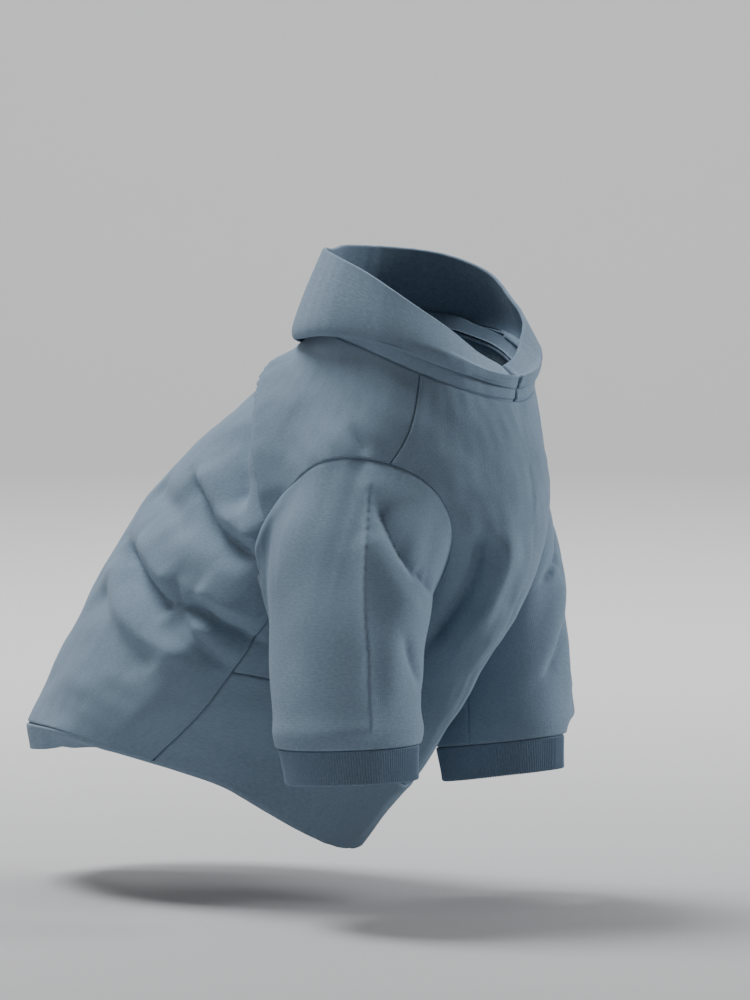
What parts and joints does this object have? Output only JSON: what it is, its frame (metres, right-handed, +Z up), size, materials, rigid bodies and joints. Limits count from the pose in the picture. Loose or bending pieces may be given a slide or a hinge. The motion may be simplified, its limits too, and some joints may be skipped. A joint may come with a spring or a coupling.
{
  "type": "pet hoodie",
  "caption": "Soft fleece pet hoodie in its worn form, with short wide sleeves, rib cuffs, a hem band and a hood lying down round the neck.",
  "frame": {"origin": "the middle of the neck opening, where the wearer's neck goes in", "axes": "+X towards the wearer's front, +Y to the wearer's left, +Z up"},
  "size_m": [0.3747, 0.2196, 0.369],
  "materials": {
    "fleece": "slate-blue cotton sweatshirt fleece, smooth knit face",
    "rib_knit": "slate-blue cotton rib knit"
  },
  "bodies": {
    "root": {"back_panel": "fleece", "chest_panel": "fleece", "belly_panel": "fleece", "right_sleeve": "fleece", "left_sleeve": "fleece", "right_cuff": "rib_knit", "left_cuff": "rib_knit", "hem_band": "fleece", "hood": "fleece"}
  },
  "joints": []
}
